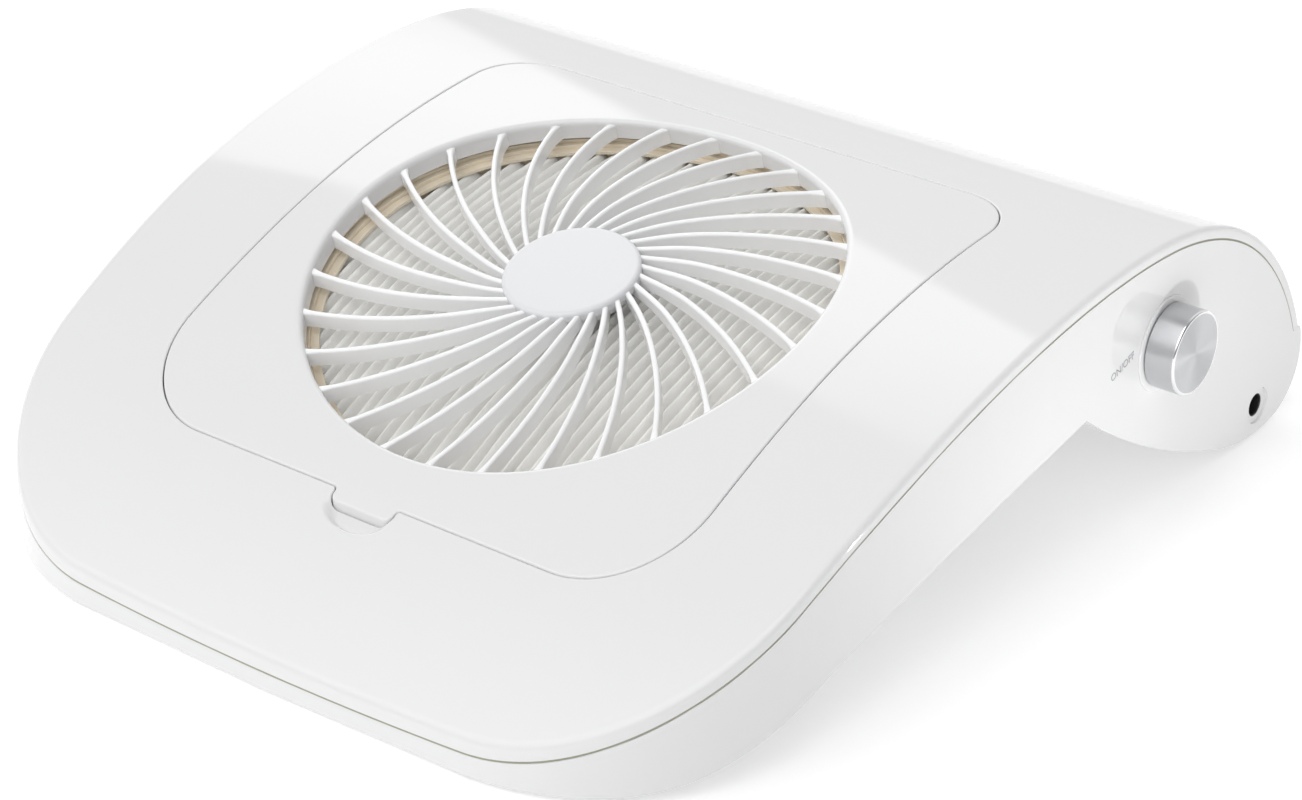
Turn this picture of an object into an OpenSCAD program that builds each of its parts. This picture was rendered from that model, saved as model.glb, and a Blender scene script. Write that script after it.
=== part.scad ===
// Nail dust collector: curved desk-top housing with a swirl-vane filter lid, an axial
// fan under the filter and an end-mounted power knob. All lengths are in millimetres.
// X runs to the knob side, Y to the back and Z up. The origin is under the middle of
// the bounding box, on the desk.

/* [Grille] */
// Number of swirl vanes
vane_count = 30; // [24:1:32]
// Thickness of one vane
vane_thickness = 1.3; // [1.0:0.1:1.6]
// How far the vanes reach down from their top edge
vane_depth = 4.4; // [3.6:0.1:4.4]
// Radius of the centre cap
cap_radius = 16; // [14.5:0.5:18]

/* [Filter] */
// Spacing of the pleats
pleat_pitch = 3; // [2.5:0.5:4]
// Height of one pleat
pleat_height = 4; // [3:0.5:4.5]

/* [Shell] */
// Thickness of the top cover
cover_thickness = 2.8; // [2.5:0.1:2.9]
// Thickness of the housing walls
wall = 2.4; // [2.0:0.1:2.6]

/* [Fan] */
// Number of fan blades
blade_count = 7; // [5:1:9]

/* [Knob] */
// Diameter of the power knob
knob_diameter = 20; // [18:0.5:21]
// Length of the power knob
knob_height = 7.4; // [6.5:0.1:8]

/* [Hidden] */
$fn = 96;
EPS = 0.01;

white = [0.93, 0.93, 0.93];
grey = [0.72, 0.73, 0.74];
black = [0.12, 0.12, 0.13];
olive = [0.55, 0.55, 0.47];
card = [0.80, 0.70, 0.52];
paper = [0.88, 0.87, 0.82];
green = [0.10, 0.36, 0.20];
copper = [0.72, 0.42, 0.22];
brass = [0.78, 0.66, 0.36];

// Where the grille centre stands in the packed frame
grille_x = -4.1;
grille_y = -19.5;
floor_z = -60.3;

// Side profile of the body, from the front edge over the top and round the back roll.
// Each entry is [radius, turn in degrees]; the grille centre is at [0, 0].
nose = [-107.2, -52.9];
nose_heading = 36.24;
top_list = [[347, 17.3], [250, 17.8], [169, 5.9], [86.4, 15.1],
            [69.9, 50.8], [14.85, 98.6], [47, 29.5], [214.5, 19.3]];
// Underside of the arch, from the roll to the front lip
arch_start = [30, -25.3];
arch_heading = 189.2;
arch_radius = 472;
arch_turn = 11.3;
toe_run = 15.5;
toe_radius = 72;
base_z = -59.3;
lip_y = -108.5;
cavity_y = -104.5;
// Plan outline: front bow, front corner and side, as [radius, turn in degrees]
front_y = -105.1;
bow = [1288.5, 2.42];
corner = [53.3, 82.35];
flank = [929, 5.23];
plan_rear = 160;
// Largest step between two points of an outline arc, in degrees
arc_step = 2.5;

// Grille and lid
tilt = 14.8;
opening_radius = 62;
ring_wall = 1.8;
ring_depth = 5.1;
vane_drop = 0.7;
vane_arc_radius = 97.7;
vane_arc_centre = [19.86, -88.16];
boss_radius = 14.2;
cap_top = -1.2;
cap_height = 2.4;
cap_round = 1.0;
boss_bottom = -6.4;
lid_thickness = 2.2;
lid_half = 74.5;
lid_front = -69.5;
lid_back = 71;
lid_front_round = 24;
lid_back_round = 15;
lid_gap = 0.35;
tab_half = 8.5;
tab_reach = 3;
tab_round = 2.5;
scoop_half = 9.5;
scoop_radius = 6;
scoop_y = -75;
scoop_z = -27.4;
hook_x = 45;
hook_half = 7;
hook_reach = 4.5;
hook_top = 3.15;
hook_bottom = 4.6;
ledge_top = 2.5;
ledge_bottom = 4.6;
ledge_in = 3;
ledge_out = 3.5;
// Lifts the layers clear of the roll's underside
lid_zone_lift = 6;

// Filter
lid_arc = 272;
frame_outer = 65;
frame_inner = 61.6;
frame_step = 63;
frame_depth = 5.9;
media_radius = 61.2;
media_depth = 8.6;
media_sheet = 0.5;
seat_n = -21.5;
gasket_height = 1.3;

// Fan and well, heights along the tilted fan axis
fan_half = 60;
fan_top = -23.4;
fan_thick = 15;
fan_bottom = fan_top - fan_thick;
fan_bore = 58.4;
fan_hole = 52.5;
fan_corner = 5;
well_inner = 60.5;
well_outer = 62.7;
well_floor = fan_bottom - 0.2;
well_bottom = well_floor - 2.2;
well_top = -23.2;
tray_radius = 67.4;
tray_tube = 65.8;
tray_lip = -13.8;
tray_bore = 58.5;
screw_radius = 1.9;
hub_radius = 20;
motor_plate = 19;
slot_width = 4;
slot_pitch = 7;

// Seam between cover and housing
seam_gap = 0.4;
rear_seam_z = -38;

// Controls in the roll end
end_x = 109.1;
knob_y = 77.2;
knob_z = -16.6;
jack_y = 124.6;
jack_z = -52.3;
jack_bore = 2.8;
jack_hole = 2.9;
jack_dish = 4.6;
bushing_hole = 3.6;
seat_radius = 11.4;
seat_thick = 0.5;
knob_gap = 0.3;
shaft_radius = 3;
board_z = -31.6;
board_thick = 1.6;
board_x = [62, 104];
board_y = [67, 113];
post_points = [[66, 71], [100, 71], [66, 109], [100, 109]];

// Housing screws as [x, y, split height]
screw_points = [[84, -62, -40], [-84, -62, -40], [92, 20, -15],
                [-92, 20, -15], [50, 104, -30], [-50, 104, -30]];
foot_points = [[56, -94], [-56, -94], [72, 121], [-72, 121]];
foot_radius = 6.5;
foot_height = 3.1;
wall_over_foot = 2.4;
// Radii of the screw towers in the cover, and of the sockets and holes that meet them
tower_radius = 3.8;
tower_bore = 1.55;
socket_radius = 4.9;
screw_recess = 3.3;
screw_clearance = 1.8;
// Radius of the board's four posts
post_radius = 3.4;
// A height well under the body, where upright posts and cuts start
below = -80;

// ---------- arcs ----------
// An arc is [centre, radius, start angle, end angle, side]; side 1 bulges outward
function at(c, r, a) = c + r * [cos(a), sin(a)];
function clockwise(p, h, r, a) = [p + r * [sin(h), -cos(h)], r, h + 90, h + 90 - a, 1];
function anticlockwise(p, h, r, a, side) = [p + r * [-sin(h), cos(h)], r, h - 90, h - 90 + a, side];
function arc_radius(a, inset) = a[1] - a[4] * inset;
function arc_from(a, inset) = at(a[0], arc_radius(a, inset), a[2]);
function arc_to(a, inset) = at(a[0], arc_radius(a, inset), a[3]);
function chain(p, h, list, i = 0) =
    i == len(list) ? [] :
    let (a = clockwise(p, h, list[i][0], list[i][1]))
    concat([a], chain(arc_to(a, 0), h - list[i][1], list, i + 1));

top_arcs = chain(nose, nose_heading, top_list);
last_arc = top_arcs[len(top_arcs) - 1];
arch_arc = anticlockwise(arch_start, arch_heading, arch_radius, arch_turn, -1);
toe_heading = arch_heading + arch_turn;
toe_start = at(arc_to(arch_arc, 0), toe_run, toe_heading);
toe_arc = clockwise(toe_start, toe_heading, toe_radius, toe_heading - 180);
bow_start = [0, front_y];
bow_arc = anticlockwise(bow_start, 0, bow[0], bow[1], 1);
corner_arc = anticlockwise(arc_to(bow_arc, 0), bow[1], corner[0], corner[1], 1);
flank_arc = anticlockwise(arc_to(corner_arc, 0), bow[1] + corner[1], flank[0], flank[1], 1);

// Points along an arc, both ends included, in steps of at most arc_step degrees
function arc_points(a, inset) =
    let (steps = ceil(abs(a[3] - a[2]) / arc_step))
    [for (i = [0 : steps]) at(a[0], arc_radius(a, inset), a[2] + (a[3] - a[2]) * i / steps)];

function flatten(lists) = [for (l = lists) for (p = l) p];
function distinct(points) =
    [for (i = [0 : len(points) - 1]) if (i == 0 || norm(points[i] - points[i - 1]) > 0.001) points[i]];
function mirrored(points) = [for (i = [len(points) - 1 : -1 : 0]) [-points[i][0], points[i][1]]];

// Side outline of the body, inset from its top and from its underside
module side_region(top_inset, base_inset, front) {
    top_z = nose[1] + (front - nose[0]) * tan(nose_heading) - top_inset / cos(nose_heading);
    polygon(distinct(concat(
        [[front, top_z]],
        flatten([for (a = top_arcs) arc_points(a, top_inset)]),
        arc_points(arch_arc, base_inset),
        arc_points(toe_arc, base_inset),
        [[front, base_z + base_inset]])));
}

module plan_region(inset) {
    right = distinct(concat(arc_points(bow_arc, inset), arc_points(corner_arc, inset),
        arc_points(flank_arc, inset)));
    far = [right[len(right) - 1][0], plan_rear];
    polygon(distinct(concat(right, [far], [[-far[0], far[1]]], mirrored(right))));
}

// 2-D side shapes are drawn in Y and Z and run along X
module along_x(width) {
    translate([-width / 2, 0, 0]) rotate([90, 0, 90]) linear_extrude(width) children();
}

module plan_prism(inset) {
    translate([0, 0, -90]) linear_extrude(130) plan_region(inset);
}

module under_surface(inset) {
    intersection() {
        along_x(240) side_region(inset, 0, lip_y);
        plan_prism(0);
    }
}

module place() {
    translate([grille_x, grille_y, -floor_z]) children();
}

// Frame of the grille, filter and fan: Z is their common axis
module tilted() {
    rotate([tilt, 0, 0]) children();
}

module knob_axis(x) {
    translate([x, knob_y, knob_z]) rotate([0, 90, 0]) children();
}

module tube(outer, inner, low, high) {
    difference() {
        translate([0, 0, low]) cylinder(r = outer, h = high - low);
        translate([0, 0, low - 1]) cylinder(r = inner, h = high - low + 2);
    }
}

module round_square(half, corner_radius) {
    s = half - corner_radius;
    union() {
        square([2 * half, 2 * s], center = true);
        square([2 * s, 2 * half], center = true);
        for (x = [-s, s], y = [-s, s]) translate([x, y]) circle(r = corner_radius);
    }
}

module lid_outline(grow, with_tab) {
    w = lid_half + grow;
    f = lid_front - grow;
    b = lid_back + grow;
    rf = lid_front_round + grow;
    rb = lid_back_round + grow;
    polygon([[-w + rf, f], [w - rf, f], [w, f + rf], [w, b - rb],
             [w - rb, b], [-w + rb, b], [-w, b - rb], [-w, f + rf]]);
    for (s = [-1, 1]) {
        translate([s * (w - rf), f + rf]) circle(r = rf);
        translate([s * (w - rb), b - rb]) circle(r = rb);
    }
    if (with_tab) {
        t = tab_half + grow;
        translate([-t, f - tab_reach + tab_round]) square([2 * t, tab_reach + 2]);
        translate([-t + tab_round, f - tab_reach]) square([2 * t - 2 * tab_round, tab_reach]);
        for (s = [-1, 1]) translate([s * (t - tab_round), f - tab_reach + tab_round]) circle(r = tab_round);
    }
}

module lid_prism(grow, with_tab) {
    translate([0, 0, -90]) linear_extrude(130) lid_outline(grow, with_tab);
}

// Layer of the body between two depths under its top surface
module layer(high, low) {
    along_x(240) intersection() {
        difference() {
            side_region(high, 0, lip_y);
            side_region(low, -5, lip_y - 1);
        }
        upper_zone(lid_zone_lift);
    }
}

// ---------- shell ----------
module upper_zone(drop) {
    polygon([[-125, -90], [30, -90], [30, -20 + drop], [110, -20 + drop], [110, rear_seam_z + drop],
             [170, rear_seam_z + drop], [170, 40], [-125, 40]]);
}

module lower_zone() {
    polygon([[30, -90], [170, -90], [170, rear_seam_z - seam_gap],
             [110, rear_seam_z - seam_gap], [110, -20], [30, -20]]);
}

module screw_tower(p, low, high, outer, inner) {
    translate([p[0], p[1], 0]) tube(outer, inner, low, high);
}

// Room for the lid's two hooks, as far behind the lid as reach
module hook_space(reach) {
    for (s = [-1, 1]) translate([s * hook_x - hook_half - 0.5, lid_back - 6, -60])
        cube([2 * hook_half + 1, 6 + reach, 100]);
}

module top_cover() {
    color(white) place() difference() {
        union() {
            intersection() {
                along_x(240) difference() {
                    intersection() {
                        side_region(0, 0, lip_y);
                        upper_zone(0);
                    }
                    side_region(cover_thickness, -5, lip_y - 1);
                }
                plan_prism(0);
            }
            difference() {
                intersection() {
                    layer(ledge_top, ledge_bottom);
                    lid_prism(ledge_out, true);
                }
                hook_space(hook_reach + 1);
            }
            intersection() {
                under_surface(1);
                union() for (p = screw_points) screw_tower(p, p[2], 20, tower_radius, tower_bore);
            }
        }
        intersection() {
            layer(-2, ledge_top);
            lid_prism(lid_gap, true);
        }
        lid_prism(-ledge_in, false);
        hook_space(lid_gap);
        // finger scoop in front of the lid tab
        translate([-scoop_half, scoop_y, scoop_z]) rotate([0, 90, 0])
            cylinder(r = scoop_radius, h = 2 * scoop_half);
    }
}

module lower_housing() {
    color(white) place() difference() {
        union() {
            difference() {
                intersection() {
                    along_x(240) union() {
                        side_region(cover_thickness + seam_gap, 0, lip_y);
                        intersection() {
                            side_region(0, 0, lip_y);
                            lower_zone();
                        }
                    }
                    plan_prism(0);
                }
                intersection() {
                    along_x(240) side_region(wall, wall, cavity_y);
                    plan_prism(wall);
                }
            }
            tilted() translate([0, 0, well_bottom]) linear_extrude(well_top - well_bottom)
                round_square(well_outer, fan_corner + 1);
            intersection() {
                under_surface(0);
                union() {
                    for (p = screw_points) translate([p[0], p[1], below])
                        cylinder(r = socket_radius, h = p[2] - 0.3 - below);
                    for (p = foot_points) translate([p[0], p[1], below])
                        cylinder(r = foot_radius + 2, h = floor_z + foot_height + wall_over_foot - below);
                    for (p = post_points) translate([p[0], p[1], below])
                        cylinder(r = post_radius, h = board_z - 0.05 - below);
                }
            }
            tilted() for (x = [-fan_hole, fan_hole], y = [-fan_hole, fan_hole])
                translate([x, y, well_bottom - 1.6]) cylinder(r = 4, h = 2);
        }
        tilted() translate([0, 0, well_floor]) linear_extrude(40) round_square(well_inner, fan_corner);
        tilted() exhaust_slots();
        tilted() for (x = [-fan_hole, fan_hole], y = [-fan_hole, fan_hole])
            translate([x, y, well_bottom - 3]) cylinder(r = screw_radius + 0.05, h = 10);
        for (p = screw_points) {
            translate([p[0], p[1], below]) cylinder(r = screw_recess, h = p[2] - 4.3 - below);
            translate([p[0], p[1], below]) cylinder(r = screw_clearance, h = p[2] + 10 - below);
        }
        for (p = foot_points) translate([p[0], p[1], below])
            cylinder(r = foot_radius + 0.1, h = floor_z + foot_height + 0.05 - below);
        for (p = post_points) translate([p[0], p[1], board_z - 7]) cylinder(r = 1.05, h = 10);
        knob_axis(end_x - 10) cylinder(r = bushing_hole, h = 20);
        translate([end_x - 10, jack_y, jack_z]) rotate([0, 90, 0]) cylinder(r = jack_hole, h = 20);
        translate([end_x - 0.7, jack_y, jack_z]) rotate([0, 90, 0]) cylinder(r = jack_dish, h = 5);
        // passage for the fan lead
        tilted() translate([58, 50, -28]) rotate([0, 90, 0]) cylinder(r = 2.6, h = 8);
    }
}

module exhaust_slots() {
    difference() {
        intersection() {
            translate([0, 0, well_bottom - 3]) cylinder(r = 55, h = 8);
            union() for (i = [-7 : 4]) translate([-60, i * slot_pitch - slot_width / 2, well_bottom - 3])
                cube([120, slot_width, 6]);
        }
        translate([0, 0, well_bottom - 4]) cylinder(r = 21, h = 12);
        for (x = [-28, 0, 28]) translate([x - 1.5, -60, well_bottom - 4]) cube([3, 120, 12]);
    }
}

module seam_gasket() {
    color(olive) place() intersection() {
        along_x(240) intersection() {
            difference() {
                side_region(cover_thickness + 0.05, 0, lip_y);
                side_region(cover_thickness + seam_gap - 0.05, -5, lip_y - 1);
            }
            upper_zone(2);
        }
        difference() {
            plan_prism(0.3);
            plan_prism(wall - 0.1);
        }
    }
}

// ---------- lid ----------
module vane() {
    intersection() {
        translate([vane_arc_centre[0], vane_arc_centre[1], -14])
            tube(vane_arc_radius + vane_thickness / 2, vane_arc_radius - vane_thickness / 2, 0, 20);
        translate([8, -4, -20]) cube([opening_radius - 4, 18, 30]);
    }
}

module grille_panel() {
    color(white) place() union() {
        difference() {
            intersection() {
                layer(0, lid_thickness);
                lid_prism(0, true);
            }
            tilted() translate([0, 0, -40]) cylinder(r = opening_radius, h = 60);
        }
        intersection() {
            layer(1, ring_depth);
            tilted() tube(opening_radius + ring_wall, opening_radius, -30, 20);
        }
        intersection() {
            layer(vane_drop, vane_drop + vane_depth);
            tilted() difference() {
                union() for (i = [0 : vane_count - 1]) rotate([0, 0, i * 360 / vane_count]) vane();
                translate([0, 0, cap_top - cap_height - 0.05]) cylinder(r = cap_radius + 0.1, h = 20);
                translate([0, 0, -30]) cylinder(r = boss_radius - 1, h = 60);
                tube(opening_radius + 20, opening_radius + 0.4, -30, 30);
            }
        }
        tilted() difference() {
            translate([0, 0, boss_bottom])
                cylinder(r = boss_radius, h = cap_top - cap_height - 0.05 - boss_bottom);
            translate([0, 0, boss_bottom - 1]) cylinder(r = boss_radius - 2, h = 2.2);
            translate([0, 0, boss_bottom - 1]) cylinder(r = 3.05, h = 10);
        }
        for (s = [-1, 1]) intersection() {
            union() {
                layer(lid_thickness - 0.5, hook_bottom);
                layer(hook_top, hook_bottom);
            }
            translate([s * hook_x - hook_half, 0, 0]) difference() {
                translate([0, lid_back - 5.5, -40]) cube([2 * hook_half, 5.5 + hook_reach, 80]);
                intersection() {
                    translate([-1, lid_back - 0.3, -40]) cube([2 * hook_half + 2, 20, 80]);
                    translate([hook_half - s * hook_x, 0, 0]) layer(-2, hook_top);
                }
            }
        }
    }
}

module centre_cap() {
    color(white) place() tilted() union() {
        translate([0, 0, cap_top - cap_height]) rotate_extrude() union() {
            square([cap_radius, cap_height - cap_round]);
            square([cap_radius - cap_round, cap_height]);
            translate([cap_radius - cap_round, cap_height - cap_round]) intersection() {
                circle(r = cap_round);
                square([cap_round, cap_round]);
            }
        }
        translate([0, 0, boss_bottom + 0.5]) cylinder(r = 3, h = cap_top - cap_height - boss_bottom);
    }
}

// ---------- filter ----------
module arc_drum(depth, half_width) {
    translate([-half_width, 0, -lid_arc]) rotate([0, 90, 0])
        cylinder(r = lid_arc - depth, h = 2 * half_width, $fn = 200);
}

module filter_frame() {
    color(card) place() tilted() {
        bottom = seat_n + gasket_height + 0.05;
        intersection() {
            arc_drum(frame_depth, 80);
            tube(frame_outer, frame_step, bottom, 10);
        }
        intersection() {
            arc_drum(frame_depth + 1.2, 80);
            tube(frame_step + 0.2, frame_inner, bottom, 10);
        }
    }
}

module filter_media() {
    pleats = floor(2 * (media_radius + 2) / pleat_pitch);
    left = -pleats * pleat_pitch / 2;
    ridge = lid_arc - media_depth;
    groove = ridge - pleat_height;
    upper = [for (i = [0 : 2 * pleats]) [i % 2 == 0 ? groove : ridge, left + i * pleat_pitch / 2]];
    lower = [for (i = [2 * pleats : -1 : 0]) [upper[i][0] - media_sheet * 2, upper[i][1]]];
    sweep = 27;
    color(paper) place() tilted() intersection() {
        translate([0, 0, -lid_arc]) rotate([0, -90, 0]) rotate([0, 0, -sweep / 2])
            rotate_extrude(angle = sweep, $fn = 360) polygon(concat(upper, lower));
        translate([0, 0, -40]) cylinder(r = media_radius, h = 60);
    }
}

module filter_gasket() {
    color(black) place() tilted() tube(frame_outer, frame_inner, seat_n + 0.03, seat_n + gasket_height);
}

module filter_tray() {
    color(grey) place() tilted() difference() {
        union() {
            translate([0, 0, fan_top + 0.05]) linear_extrude(seat_n - fan_top - 0.05)
                round_square(well_inner - 0.3, fan_corner);
            translate([0, 0, well_top + 0.1]) cylinder(r = tray_radius, h = seat_n - well_top - 0.1);
            tube(tray_radius, tray_tube, seat_n - 0.5, tray_lip);
        }
        translate([0, 0, -40]) cylinder(r = tray_bore, h = 60);
        for (x = [-fan_hole, fan_hole], y = [-fan_hole, fan_hole])
            translate([x, y, -40]) cylinder(r = screw_radius + 0.15, h = 60);
    }
}

// ---------- fan ----------
module fan_axis() {
    place() tilted() translate([0, 0, fan_bottom]) children();
}

module fan_screws() {
    color(grey) fan_axis() for (x = [-fan_hole, fan_hole], y = [-fan_hole, fan_hole]) translate([x, y, 0]) {
        difference() {
            translate([0, 0, seat_n - fan_bottom + 0.02]) cylinder(r = 3.6, h = 2);
            translate([0, 0, seat_n - fan_bottom + 1.2]) cube([4.4, 0.9, 3], center = true);
            translate([0, 0, seat_n - fan_bottom + 1.2]) cube([0.9, 4.4, 3], center = true);
        }
        translate([0, 0, -3.6]) cylinder(r = screw_radius, h = seat_n - fan_bottom + 3.7);
    }
}

module fan_frame() {
    color(black) fan_axis() {
        difference() {
            linear_extrude(fan_thick) round_square(fan_half, fan_corner);
            translate([0, 0, -1]) cylinder(r = fan_bore, h = fan_thick + 2);
            for (x = [-fan_hole, fan_hole], y = [-fan_hole, fan_hole])
                translate([x, y, -1]) cylinder(r = screw_radius + 0.15, h = fan_thick + 2);
        }
        difference() {
            union() {
                cylinder(r = motor_plate, h = 1.6);
                for (a = [45 : 90 : 315]) rotate([0, 0, a]) translate([motor_plate - 2, -2.2, 0])
                    cube([fan_bore - motor_plate + 3, 4.4, 2.4]);
                translate([0, 0, 1]) cylinder(r = 4.2, h = 9);
            }
            translate([0, 0, 1.6]) cylinder(r = 3.12, h = 20);
        }
    }
}

module fan_impeller() {
    color(black) fan_axis() {
        for (i = [0 : blade_count - 1]) rotate([0, 0, i * 360 / blade_count])
            pitched_blade();
        difference() {
            translate([0, 0, 3.4]) cylinder(r = hub_radius, h = 10.6);
            translate([0, 0, 2]) cylinder(r = hub_radius - 1.5, h = 10.4);
            translate([0, 0, 2]) cylinder(r = 1.52, h = 10.9);
        }
        difference() {
            translate([0, 0, 10.8]) cylinder(r = 3.4, h = 1.7);
            translate([0, 0, 10]) cylinder(r = 1.52, h = 2.9);
        }
    }
}

// A blade is a flat plate pitched about its radial centre line, cut to a ring sector
module pitched_blade() {
    intersection() {
        tube(57.4, hub_radius - 0.8, 3.6, 13.6);
        linear_extrude(20) polygon([[0, 0], [70, -27], [70, 27]]);
        translate([0, 0, 8.6]) rotate([17, 0, 0]) translate([10, -40, -0.7]) cube([60, 80, 1.4]);
    }
}

module fan_magnet() {
    color(grey) fan_axis() tube(hub_radius - 1.55, hub_radius - 3.2, 3.8, 11.8);
}

module fan_shaft() {
    color(grey) fan_axis() translate([0, 0, 2]) cylinder(r = 1.5, h = 10.8);
}

module fan_bearings() {
    color(brass) fan_axis() {
        tube(3.1, 1.55, 1.7, 4.7);
        tube(3.1, 1.55, 6.6, 9.6);
    }
}

module fan_core() {
    color(grey) fan_axis() difference() {
        union() {
            tube(7, 4.25, 4, 9);
            for (a = [0 : 90 : 270]) rotate([0, 0, a]) {
                translate([6, -1.6, 5]) cube([7.5, 3.2, 3]);
                intersection() {
                    tube(15.8, 13.2, 4.4, 8.6);
                    linear_extrude(20) polygon([[0, 0], [20, -14], [20, 14]]);
                }
            }
        }
        cylinder(r = 4.25, h = 20);
    }
}

module fan_coils() {
    color(copper) fan_axis() for (a = [0 : 90 : 270]) rotate([0, 0, a]) difference() {
        translate([7.3, -3.4, 4.0]) cube([5.2, 6.8, 5]);
        translate([7, -1.65, 4.95]) cube([6.5, 3.3, 3.1]);
    }
}

module fan_board() {
    color(green) fan_axis() tube(17, 4.3, 1.7, 2.7);
}

// ---------- controls ----------
module control_board() {
    color(green) place() difference() {
        translate([board_x[0], board_y[0], board_z])
            cube([board_x[1] - board_x[0], board_y[1] - board_y[0], board_thick]);
        for (p = post_points) translate([p[0], p[1], board_z - 1]) cylinder(r = 1.2, h = 4);
    }
}

module board_parts() {
    top = board_z + board_thick + 0.02;
    color(black) place() {
        translate([74, 98, top]) cylinder(r = 4, h = 11);
        translate([84, 98, top]) cylinder(r = 3.1, h = 8);
        translate([86.5, 103, top]) cube([10, 4.5, 13]);
        translate([72, 84, top]) cube([8, 6, 1.8]);
        translate([86, 88, top]) cube([5, 4, 1.6]);
        translate([64, 80, top]) difference() {
            cube([6, 10, 5.8]);
            translate([1, 1, 1.2]) cube([4, 8, 6]);
        }
    }
}

module board_screws() {
    color(grey) place() for (p = post_points) translate([p[0], p[1], 0]) {
        translate([0, 0, board_z + board_thick + 0.02]) cylinder(r = 2.4, h = 1.4);
        translate([0, 0, board_z - 5]) cylinder(r = 1, h = board_thick + 5.5);
    }
}

module pot_body() {
    back = end_x - wall - 9.6;
    color(grey) place() {
        knob_axis(0) difference() {
            union() {
                translate([0, 0, back]) cylinder(r = 8.2, h = 9.5);
                translate([0, 0, back + 9]) cylinder(r = 3.5, h = wall + 3);
            }
            translate([0, 0, back + 1.2]) cylinder(r = shaft_radius + 0.05, h = 20);
        }
        for (y = [-2.5, 0, 2.5]) translate([back + 1.5, knob_y + y - 0.6, board_z + board_thick + 0.05])
            cube([0.8, 1.2, knob_z - 5.8 - board_z - board_thick]);
    }
}

module pot_shaft() {
    low = end_x - wall - 7.9;
    high = end_x + seat_thick + knob_gap + knob_height - 1.6;
    color(grey) place() knob_axis(0) difference() {
        translate([0, 0, low]) cylinder(r = shaft_radius, h = high - low);
        translate([-shaft_radius - 1, 1.6, high - 3.5]) cube([2 * shaft_radius + 2, 4, 5]);
    }
}

module pot_nut() {
    low = end_x + seat_thick + 0.05;
    color(brass) place() knob_axis(0) difference() {
        translate([0, 0, low]) cylinder(r = 5.6, h = 1.7, $fn = 6);
        translate([0, 0, low - 1]) cylinder(r = 3.55, h = 4);
    }
}

module knob() {
    low = end_x + seat_thick + knob_gap;
    r = knob_diameter / 2;
    color(grey) place() knob_axis(0) difference() {
        translate([0, 0, low]) union() {
            cylinder(r = r, h = knob_height - 0.5);
            translate([0, 0, knob_height - 0.5 - EPS]) cylinder(r1 = r, r2 = r - 0.5, h = 0.5 + EPS);
        }
        translate([0, 0, low - 1]) cylinder(r = 6.7, h = 3.6);
        difference() {
            translate([0, 0, low - 1]) cylinder(r = shaft_radius + 0.02, h = knob_height - 0.55);
            translate([-shaft_radius - 1, 1.64, low + knob_height - 5]) cube([2 * shaft_radius + 2, 4, 6]);
        }
    }
}

module knob_seat() {
    color(white) place() knob_axis(0) tube(seat_radius, bushing_hole, end_x + 0.01, end_x + seat_thick);
}

module jack_body() {
    color(black) place() translate([0, jack_y, jack_z]) rotate([0, 90, 0]) difference() {
        translate([0, 0, end_x - wall - 14]) cylinder(r = 3.85, h = 13.9);
        translate([0, 0, end_x - wall - 11]) cylinder(r = jack_bore, h = 20);
    }
}

module jack_pin() {
    color(brass) place() translate([0, jack_y, jack_z]) rotate([0, 90, 0])
        translate([0, 0, end_x - wall - 10.95]) cylinder(r = 1, h = 9.5);
}

// A round wire through a list of points
module wire(points, r) {
    for (i = [0 : len(points) - 2]) {
        d = points[i + 1] - points[i];
        l = norm(d);
        translate(points[i]) rotate([0, acos(d[2] / l), atan2(d[1], d[0])]) cylinder(r = r, h = l, $fn = 24);
    }
    // The elbows are turned so that no run meets one at its pole
    for (i = [1 : len(points) - 2]) translate(points[i]) rotate([40, 35, 0]) sphere(r = r + 0.06, $fn = 24);
}

module fan_lead() {
    color(black) place() for (k = [0, 1]) wire([[60.2, 54.55 + 1.9 * k, -14.3],
        [66.8 - 2 * k, 54.55 + 1.9 * k, -14.5], [68 - 2 * k, 68, -17],
        [68 - 2 * k, 82.6, -21], [68 - 2 * k, 84.6, -28.4]], 0.7);
}

module jack_lead() {
    color(black) place() for (k = [0, 1]) wire([[92.5, 123.4 + 2.4 * k, jack_z], [86, 123 + 2.4 * k, -51],
        [82 - 3 * k, 118 + 2 * k, -38], [80 - 3 * k, 112, -26.6], [79 - 3 * k, 109, -29.2]], 0.7);
}

// ---------- fixings ----------
module housing_screws() {
    color(grey) place() for (p = screw_points) translate([p[0], p[1], p[2] - 4.35]) {
        translate([0, 0, -2]) difference() {
            cylinder(r = 3, h = 2);
            translate([0, 0, 0.4]) cube([3.8, 0.8, 1.6], center = true);
            translate([0, 0, 0.4]) cube([0.8, 3.8, 1.6], center = true);
        }
        cylinder(r = 1.5, h = 13);
    }
}

module feet() {
    color(black) place() for (p = foot_points) translate([p[0], p[1], floor_z]) {
        cylinder(r1 = foot_radius - 0.6, r2 = foot_radius, h = 0.6);
        translate([0, 0, 0.6]) cylinder(r = foot_radius, h = foot_height - 0.6);
    }
}

top_cover();
lower_housing();
seam_gasket();
grille_panel();
centre_cap();
filter_frame();
filter_media();
filter_gasket();
filter_tray();
fan_screws();
fan_frame();
fan_impeller();
fan_magnet();
fan_shaft();
fan_bearings();
fan_core();
fan_coils();
fan_board();
control_board();
board_parts();
board_screws();
pot_body();
pot_shaft();
pot_nut();
knob();
knob_seat();
jack_body();
jack_pin();
fan_lead();
jack_lead();
housing_screws();
feet();
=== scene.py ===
"""Looks of the nail dust collector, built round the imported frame.

Lengths in the shape code are millimetres measured from the grille centre, as in the CAD
source; put() turns them into metres in the frame. The glossy cover and lid are rebuilt
from the same arcs as the CAD, with exact normals, so that reflections run over them
smoothly. The lower housing and the inner parts are the CAD's own.
"""

import math

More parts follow.
